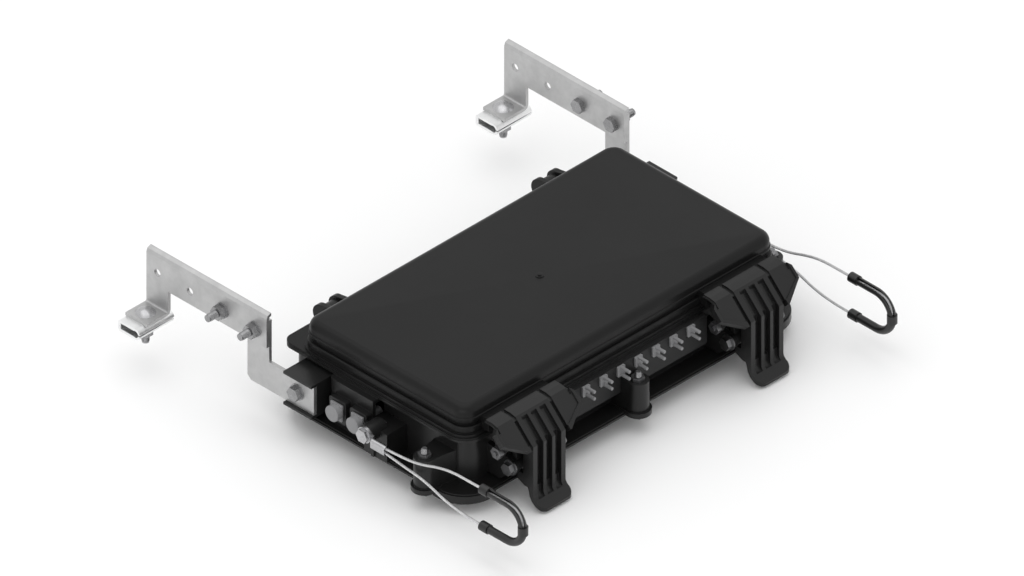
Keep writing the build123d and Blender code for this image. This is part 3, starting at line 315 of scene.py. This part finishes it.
def block(x0, x1, y0, y1, z0, z1):
    return prism([(x0, y0), (x1, y0), (x1, y1), (x0, y1)], "z", z0, z1)


def arc(centre, radius, start, end, steps=8):
    """Points on an arc, angles in degrees."""
    angles = [math.radians(start + (end - start) * i / steps) for i in range(steps + 1)]
    return [(centre[0] + radius * math.cos(a), centre[1] + radius * math.sin(a)) for a in angles]


def ring_of(radius, count=28):
    angles = [2 * math.pi * k / count for k in range(count)]
    return [(radius * math.cos(a), radius * math.sin(a)) for a in angles]


def mirrored(points, sign):
    return [(sign * x, y) for x, y in points]


def end_span(sign, near, far):
    """X from near to far at one end, the lower value first."""
    return sorted((sign * near, sign * far))


def crisp(piece, angle=SHARP):
    piece.data.shade_smooth()
    piece.data.set_sharp_from_angle(angle=math.radians(angle))


def shaped(piece, steps):
    """Applies steps in order, each one the name of a boolean operation and its tool solid."""
    for action, tool in steps:
        cut = piece.modifiers.new("step", "BOOLEAN")
        cut.operation = action
        cut.solver = "EXACT"
        cut.object = tool
        bpy.context.view_layer.update()
        graph = bpy.context.evaluated_depsgraph_get()
        result = bpy.data.meshes.new_from_object(piece.evaluated_get(graph))
        piece.modifiers.clear()
        piece.data = result
        bpy.data.objects.remove(tool)
    return piece


def dressed(piece, slot, body, *replaced, finish=None):
    """Gives a piece its look and its body, and hides the nodes that it stands for."""
    piece.data.materials.clear()
    piece.data.materials.append(finish or materials[slot])
    crisp(piece)
    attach(piece, body)
    if replaced:
        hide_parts(*replaced)
    return piece


# Latches with open grooves over the top and a flat, rounded pull tab

LATCH_AT = 158.2
FOOT_HALF = 30
FOOT_CUT = (-190, -159.2, -16, 12.0)
TAB_HALF, TAB_CORNER = 23.5, 9.5
TAB_ROOT_Y, TAB_TIP_Y = -150, -186.4
TAB_SIDE = [
    (-164.2, 12.6), (-165.6, 9.0), (-167.4, 1.5), (-170.5, -3.4), (-176, -7.4), (-183, -10.4),
    (-186.0, -11.0), (TAB_TIP_Y, -7.2), (-181, -4.2), (-176, -1.6), (-173.2, 1.2), (-172.4, 4.0),
    (-172.4, 12.6),
]

# Each cut's outline as Y and Z, and where it lies on either side of the lever's middle
CHANNEL = [(-168.6, 14), (-168.6, 4.2), (-169.8, 1.6), (-172.4, -0.2), (-177, -1.2), (-177, 14)]
CHANNEL_SPANS = ((-17.4, -8.6), (-4.3, 4.3), (8.6, 17.4))
TOP_CUT = [(-125, 98), (-125, 90.6), (-139, 90.6), (-146.4, 89.4), (-150, 87), (-150, 98)]
TOP_SPANS = ((-28, -TAB_HALF), (TAB_HALF, 28))
EDGE_CUT = [(-125, 98), (-125, 91.2), (-139, 91.2), (-147.5, 89.2), (-152, 84), (-152, 98)]
EDGE_SPANS = ((-52.4, -50.0), (50.0, 52.4))


def cuts(x, outline, spans):
    return [("DIFFERENCE", prism(outline, "x", x + low, x + high)) for low, high in spans]


def pull_tab(x):
    """Flange at the lever's foot, with rounded corners and channels between its ribs."""
    tab = prism(TAB_SIDE, "x", x - TAB_HALF, x + TAB_HALF)
    inner, corner_y = TAB_HALF - TAB_CORNER, TAB_TIP_Y + TAB_CORNER
    keep = [(x - TAB_HALF, TAB_ROOT_Y), (x - TAB_HALF, corner_y)]
    keep += arc((x - inner, corner_y), TAB_CORNER, 180, 270)
    keep += arc((x + inner, corner_y), TAB_CORNER, 270, 360)
    keep += [(x + TAB_HALF, TAB_ROOT_Y)]
    steps = [("INTERSECT", prism(keep, "z", -20, 30))]
    return shaped(tab, steps + cuts(x, CHANNEL, CHANNEL_SPANS))


def latch_piece(side, sign):
    x = sign * LATCH_AT
    piece = solid_copy(f"lever_{side}", f"latch_{side}")
    steps = [("DIFFERENCE", block(x - FOOT_HALF, x + FOOT_HALF, *FOOT_CUT)), ("UNION", pull_tab(x))]
    steps += cuts(x, TOP_CUT, TOP_SPANS) + cuts(x, EDGE_CUT, EDGE_SPANS)
    shaped(piece, steps)
    return dressed(piece, "black_moulding", f"latch_{side}", f"latch_{side}")


for side, sign in SIDES:
    latch_piece(side, sign)


# Housing with bare end walls in front of the ports, and squarer rear corners on the rim

WALL_X, PAST_END = 222.0, 241.0
FLANGE_Z, RIM_Z = 11.05, 65.62
PAD_FRONT, PAD_TOP = -30.5, 45.4
CORNER_CUT = [(222, -96)] + arc((202, -96), 20, -5, -38, 5)
CORNER_CUT += [(217.4, -109.5), (223, -109.5), (223, -96)]
COLUMN = [(219, -101), (240, -97.2), (252, -96.8)] + arc((252, -85), 11.8, -90, 90, 12)
COLUMN += [(240, -72.8), (219, -69)]
RIM_CORNER = [(215, 118), (232.5, 118)] + arc((221.5, 130), 11, 0, 90) + [(206, 141), (206, 130)]


def corner_fill(sign, low, high):
    """Squares up a rear corner of the rim from radius 24 to radius 11."""
    return prism(mirrored(RIM_CORNER, sign), "z", low, high)


def end_steps(sign):
    """Clears one end in front of the ports, then adds its wall, the lug's pad and the bolt column."""
    beyond = end_span(sign, WALL_X, PAST_END)
    wall = end_span(sign, 217.0, WALL_X)
    pad = end_span(sign, 219.0, 252.0)
    return [
        ("DIFFERENCE", block(*beyond, -110, PAD_FRONT, FLANGE_Z, RIM_Z)),
        ("DIFFERENCE", prism(mirrored(CORNER_CUT, sign), "z", FLANGE_Z, RIM_Z)),
        ("UNION", block(*wall, -103, -28, 12, 66)),
        ("DIFFERENCE", block(*beyond, -30.6, 2.0, PAD_TOP, RIM_Z)),
        ("UNION", block(*wall, -28.5, 4, 40, 66)),
        ("UNION", block(*pad, PAD_FRONT, 2.8, 11.2, PAD_TOP)),
        ("UNION", prism(mirrored(COLUMN, sign), "z", 10.9, 46.9)),
        ("UNION", corner_fill(sign, 65.35, 68.05)),
    ]


housing = solid_copy("housing", "base_shell")
shaped(housing, end_steps(-1) + end_steps(1))
dressed(housing, "black_moulding", "root", "base_shell")

cover = solid_copy("cover", "lid")
shaped(cover, [("UNION", corner_fill(sign, 68.6, 71.95)) for side, sign in SIDES])
dressed(cover, "black_moulding", "lid", "lid", finish=lid_finish)


# Bottom pan without the rear feet's inner ends

FOOT_TRIM_X = (235.4, 250.0)
FOOT_TRIM_YZ = (90, 122, -0.5, 9.2)

pan = solid_copy("pan", "bottom_pan")
trims = [("DIFFERENCE", block(*end_span(sign, *FOOT_TRIM_X), *FOOT_TRIM_YZ)) for side, sign in SIDES]
dressed(shaped(pan, trims), "black_moulding", "root", "bottom_pan")


# Rope saddles with the groove open on the outer side, where the rope shows

SADDLE_X = 268.0
HOOK_TUBE, HOOK_BORE, HOOK_BAND, BAND_BORE = 4.5, 1.65, 5.6, 2.2
HOOK_Y, HOOK_Z, HOOK_BEND, HOOK_END = -221.0, 40.0, 23.0, -184.0
LEG_STEPS, BEND_STEPS = 8, 12
BAND_LENGTH, FAR_BAND_HALF = 11, 5
BAND_OVERHANG, JOIN_OVERLAP = 0.01, 0.4
GROOVE_ROLL = math.radians(24)


def hook_line(top):
    """Stations of centre and outward direction in the Y-Z plane, from an end to the bend's middle."""
    side = 1 if top else -1
    out = []
    for i in range(LEG_STEPS + 1):
        y = HOOK_END + (HOOK_Y - HOOK_END) * i / LEG_STEPS
        out.append(((y, HOOK_Z + side * HOOK_BEND), (0, side)))
    for i in range(1, BEND_STEPS + 1):
        angle = math.radians(90 + 90 * i / BEND_STEPS)
        u, v = math.cos(angle), side * math.sin(angle)
        out.append(((HOOK_Y + HOOK_BEND * u, HOOK_Z + HOOK_BEND * v), (u, v)))
    return out


def swept(stations, x, outline, hollow=None):
    """Sweeps a section, given as (across, outward) points, with a bore as a second ring."""
    count = len(outline)
    rings = [outline] if hollow is None else [outline, hollow]
    verts, faces = [], []
    for (y, z), (u, v) in stations:
        for ring in rings:
            verts += [(x + a, y + u * b, z + v * b) for a, b in ring]
    step = count * len(rings)
    for i in range(len(stations) - 1):
        for r in range(len(rings)):
            faces += ring_faces(i * step + r * count, count, step)
    for i in (0, len(stations) - 1):
        if hollow is None:
            faces.append(tuple(i * step + k for k in range(count)))
        else:
            faces += ring_faces(i * step, count, count)
    return piece_from("tool", verts, faces)


def groove_section():
    """Ring with a groove from its bore to the outside, rolled towards the left end."""
    lip = math.degrees(math.asin(HOOK_BORE / HOOK_TUBE))
    section = arc((0, 0), HOOK_TUBE, 90 + lip, 450 - lip, 24) + [(HOOK_BORE, 0)]
    section += arc((0, 0), HOOK_BORE, 0, -180, 10)[1:-1] + [(-HOOK_BORE, 0)]
    c, s = math.cos(GROOVE_ROLL), math.sin(GROOVE_ROLL)
    return [(a * c - b * s, a * s + b * c) for a, b in section]


def rope_saddle(side, sign):
    """One grooved and one closed leg, with a band at each end and one round the bend."""
    x = sign * SADDLE_X
    far_y = HOOK_Y - HOOK_BEND
    top, low = hook_line(True), hook_line(False)
    low.append(((far_y, HOOK_Z + JOIN_OVERLAP), (-1, 0)))
    saddle = swept(top, x, groove_section())
    saddle.name = f"saddle_{side}"
    steps = [("UNION", swept(low, x, ring_of(HOOK_TUBE), ring_of(HOOK_BORE)))]
    bands = []
    for line in (top, low):
        (_, z), out = line[0]
        bands.append([((HOOK_END + BAND_OVERHANG, z), out), ((HOOK_END - BAND_LENGTH, z), out)])
    bands.append([((far_y, HOOK_Z + dz), (-1, 0)) for dz in (FAR_BAND_HALF, -FAR_BAND_HALF)])
    for band in bands:
        steps.append(("UNION", swept(band, x, ring_of(HOOK_BAND), ring_of(BAND_BORE))))
    shaped(saddle, steps)
    return dressed(saddle, "hook_rubber", "root", f"wire_hook_{side}")


saddles = {side: rope_saddle(side, sign) for side, sign in SIDES}


# Threads on the bolts' free ends

BOLT_R, STUD_R, STUD_PITCH = 3.97, 3.35, 1.0
AROUND, ROWS_PER_TURN = 24, 8
THREAD_ROOT, THREAD_DEPTH, RUN_OUT = 0.03, 0.42, 1.4
HANGER_BOLTS = [(151.8, 93.6), (199.0, 93.6)]
CLAMP_BOLTS = {"left": (-277.6, 294.5), "right": (241.8, 294.5)}
STUDS = [(0, -143), (-252, -85), (252, -85), (0, 143), (-190, 143), (190, 143)]


def thread(name, at, axis, low, high, radius, pitch=1.25, tip="high"):
    """One helical thread on a closed tube that fits over the plain shank."""
    rows = int((high - low) / pitch * ROWS_PER_TURN)
    verts, faces = [], []
    for row in range(rows + 1):
        along = low + (high - low) * row / rows
        from_tip = high - along if tip == "high" else along - low
        crest = THREAD_DEPTH * min(1.0, from_tip / RUN_OUT)
        for k in range(AROUND):
            angle = 2 * math.pi * k / AROUND
            phase = (along / pitch - k / AROUND) % 1
            r = radius + THREAD_ROOT + crest * (1 - abs(2 * phase - 1))
            u, v = r * math.cos(angle), r * math.sin(angle)
            if axis == "x":
                verts.append((along, at[0] + u, at[1] + v))
            else:
                verts.append((at[0] + u, at[1] + v, along))
    for row in range(rows):
        faces += ring_faces(row * AROUND, AROUND, AROUND)
    faces.append(tuple(range(AROUND - 1, -1, -1)))
    faces.append(tuple(range(rows * AROUND, (rows + 1) * AROUND)))
    return dressed(piece_from(name, verts, faces), "plated", "root", finish=bolt_finish)


for number, at in enumerate(HANGER_BOLTS, 1):
    thread(f"hanger_thread_left_{number}", at, "x", -282.6, -271.4, BOLT_R, tip="low")
    thread(f"hanger_thread_right_{number}", at, "x", 275.2, 286.4, BOLT_R)
for side, at in CLAMP_BOLTS.items():
    thread(f"clamp_thread_{side}", at, "z", 16.0, 24.8, BOLT_R, tip="low")
for number, at in enumerate(STUDS, 1):
    thread(f"boss_thread_{number}", at, "z", 51.0, 56.2, STUD_R, pitch=STUD_PITCH)


# Wire loops in metres, on the route that the source gives as Y and Z

LOOP_X = 0.268
ROUTE = [
    (-0.0405, 0.0434), (-0.068, 0.0446), (-0.094, 0.0484), (-0.119, 0.0576), (-0.141, 0.0626),
    (-0.168, 0.06295), (-0.206, 0.06308), (-0.244, 0.063), (-0.244, 0.017), (-0.206, 0.01692),
    (-0.168, 0.01705), (-0.147, 0.0186), (-0.128, 0.0222), (-0.111, 0.0282), (-0.093, 0.0326),
    (-0.070, 0.0346), (-0.0405, 0.0387),
]
ROUTE_STEP = 0.0016
STRANDS, STRAND_R, LAY_R, LAY_PITCH = 6, 0.00052, 0.00098, 0.020
STRAND_SIDES = 6


def route_line(side, sign):
    """Points of the route's smooth line."""
    data = bpy.data.curves.new(f"route_{side}", "CURVE")
    data.dimensions = "3D"
    data.resolution_u = 24
    spline = data.splines.new("NURBS")
    spline.points.add(len(ROUTE) - 1)
    for point, (y, z) in zip(spline.points, ROUTE):
        point.co = (sign * LOOP_X, y, z, 1)
    spline.order_u = 3
    spline.use_endpoint_u = True
    guide = linked(f"route_{side}", data)
    bpy.context.view_layer.update()
    graph = bpy.context.evaluated_depsgraph_get()
    line = [v.co.copy() for v in bpy.data.meshes.new_from_object(guide.evaluated_get(graph)).vertices]
    bpy.data.objects.remove(guide)
    return line


def evenly(line, step):
    """The same line with points at even steps."""
    out, left = [line[0]], step
    for a, b in zip(line, line[1:]):
        run = (b - a).length
        while left <= run:
            out.append(a.lerp(b, left / run))
            left += step
        left -= run
    out.append(line[-1])
    return out


def wire_loop(side, sign):
    """Six strands laid round a straight one."""
    path = evenly(route_line(side, sign), ROUTE_STEP)
    across = Vector((1, 0, 0))
    verts, faces = [], []
    for strand in range(STRANDS + 1):
        first, travelled = len(verts), 0.0
        reach = LAY_R if strand < STRANDS else 0.0
        for i, point in enumerate(path):
            ahead = (path[min(i + 1, len(path) - 1)] - path[max(i - 1, 0)]).normalized()
            up = ahead.cross(across).normalized()
            if i:
                travelled += (point - path[i - 1]).length
            turn = 2 * math.pi * (strand / STRANDS + travelled / LAY_PITCH)
            centre = point + (across * math.cos(turn) + up * math.sin(turn)) * reach
            for k in range(STRAND_SIDES):
                angle = 2 * math.pi * k / STRAND_SIDES
                verts.append(centre + (across * math.cos(angle) + up * math.sin(angle)) * STRAND_R)
        for i in range(len(path) - 1):
            faces += ring_faces(first + i * STRAND_SIDES, STRAND_SIDES, STRAND_SIDES)
        last = first + (len(path) - 1) * STRAND_SIDES
        faces.append(tuple(first + k for k in range(STRAND_SIDES - 1, -1, -1)))
        faces.append(tuple(last + k for k in range(STRAND_SIDES)))
    rope = piece_from(f"rope_{side}", [v / MM for v in verts], faces)
    dressed(rope, "wire", "root", f"wire_loop_{side}")
    crisp(rope, SHARP_STRANDS)


for side, sign in SIDES:
    wire_loop(side, sign)
